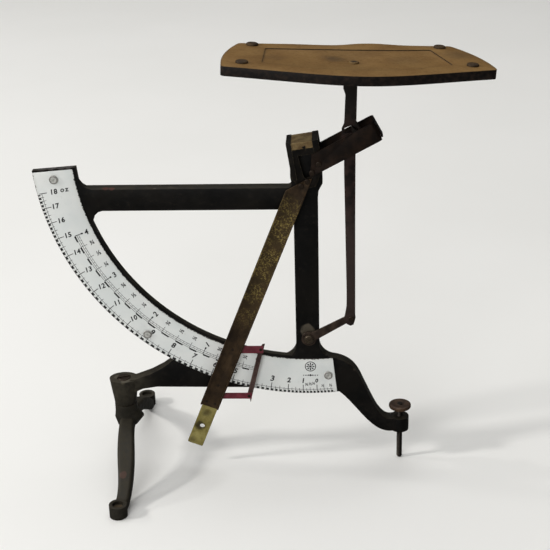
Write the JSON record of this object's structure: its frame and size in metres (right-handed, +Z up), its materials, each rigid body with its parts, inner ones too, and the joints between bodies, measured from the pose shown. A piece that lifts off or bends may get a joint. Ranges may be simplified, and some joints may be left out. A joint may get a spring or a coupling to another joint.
{
  "type": "bench scale",
  "caption": "Pendulum quadrant letter scale: iron frame with enamelled arc dial, knife-edge lever and pendulum, guided pan on an upright stem, folding foot and levelling screw.",
  "frame": {"origin": "on the table at the centre of the footprint; the main pivot stands 27.2 mm to its right and 211.5 mm up, in the mid-plane of the iron frame", "axes": "+X to the load side, +Y away from the user (dial faces -Y), +Z up"},
  "size_m": [0.2698, 0.1462, 0.2691],
  "materials": {
    "black_paint": "worn black stove paint over cast iron",
    "enamel": "cool white vitreous enamel on steel, black print",
    "bright_screws": "nickelled, dulled",
    "hard_steel": "oil-darkened steel",
    "black_sheet": "black-brown lacquered sheet steel",
    "worn_brass": "tarnished olive brass",
    "dark_brass": "dark brown patina",
    "rivets": "browned steel",
    "crimson_sheet": "faded dark red lacquer",
    "pan_bronze": "brown bronzed lacquer on pressed sheet",
    "knob_brass": "rusty brown"
  },
  "bodies": {
    "frame": {"frame_casting": "black_paint", "dial_plate": "enamel", "dial_screws": "bright_screws", "bearing_block": "hard_steel", "guide_washer": "rivets", "guide_pivot_screw": "rivets", "foot_pivot_screw": "rivets", "foot_nut": "rivets", "foot_washer": "rivets"},
    "lever": {"lever_saddle": "black_sheet", "main_knife_edge": "hard_steel", "saddle_strap": "worn_brass", "load_stirrup": "dark_brass", "load_knife_edge": "hard_steel", "lever_rivets": "rivets", "pendulum_strip": "dark_brass", "pendulum_tongue": "worn_brass", "tongue_rivets": "rivets", "index_bracket": "crimson_sheet", "index_blade": "dark_brass", "index_rivets": "rivets"},
    "pan_carrier": {"stem": "black_sheet", "link_pin": "rivets", "pan_bracket": "black_sheet", "pan": "pan_bronze", "pan_buttons": "pan_bronze", "pan_rivet": "rivets"},
    "guide": {"guide_link": "dark_brass"},
    "foot": {"swing_foot": "black_paint"},
    "leveller": {"levelling_screw": "hard_steel", "levelling_knob": "knob_brass"}
  },
  "joints": [
    {"name": "lever_swing", "type": "hinge", "parent": "frame", "child": "lever", "pos_m": [0.02724, 0, 0.2115], "axis": [0, 1, 0], "range_deg": [-15, 65]},
    {"name": "stem_hang", "type": "hinge", "parent": "lever", "child": "pan_carrier", "pos_m": [0.05344, 0, 0.2264], "axis": [0, 1, 0], "range_deg": [-65, 15]},
    {"name": "guide_swing", "type": "hinge", "parent": "frame", "child": "guide", "pos_m": [0.02724, 0, 0.088], "axis": [0, 1, 0], "range_deg": [-15, 65]},
    {"name": "foot_fold", "type": "hinge", "parent": "frame", "child": "foot", "pos_m": [-0.09096, 0, 0.0325], "axis": [0, 0, 1], "range_deg": [-85, 0]},
    {"name": "level_adjust", "type": "slide", "parent": "frame", "child": "leveller", "axis": [0, 0, 1], "range_m": [-0.004, 0.0095]}
  ],
  "couplings": [
    {"joint": "stem_hang", "follows": "lever_swing", "ratio": -1},
    {"joint": "guide_swing", "follows": "lever_swing", "ratio": 1}
  ]
}
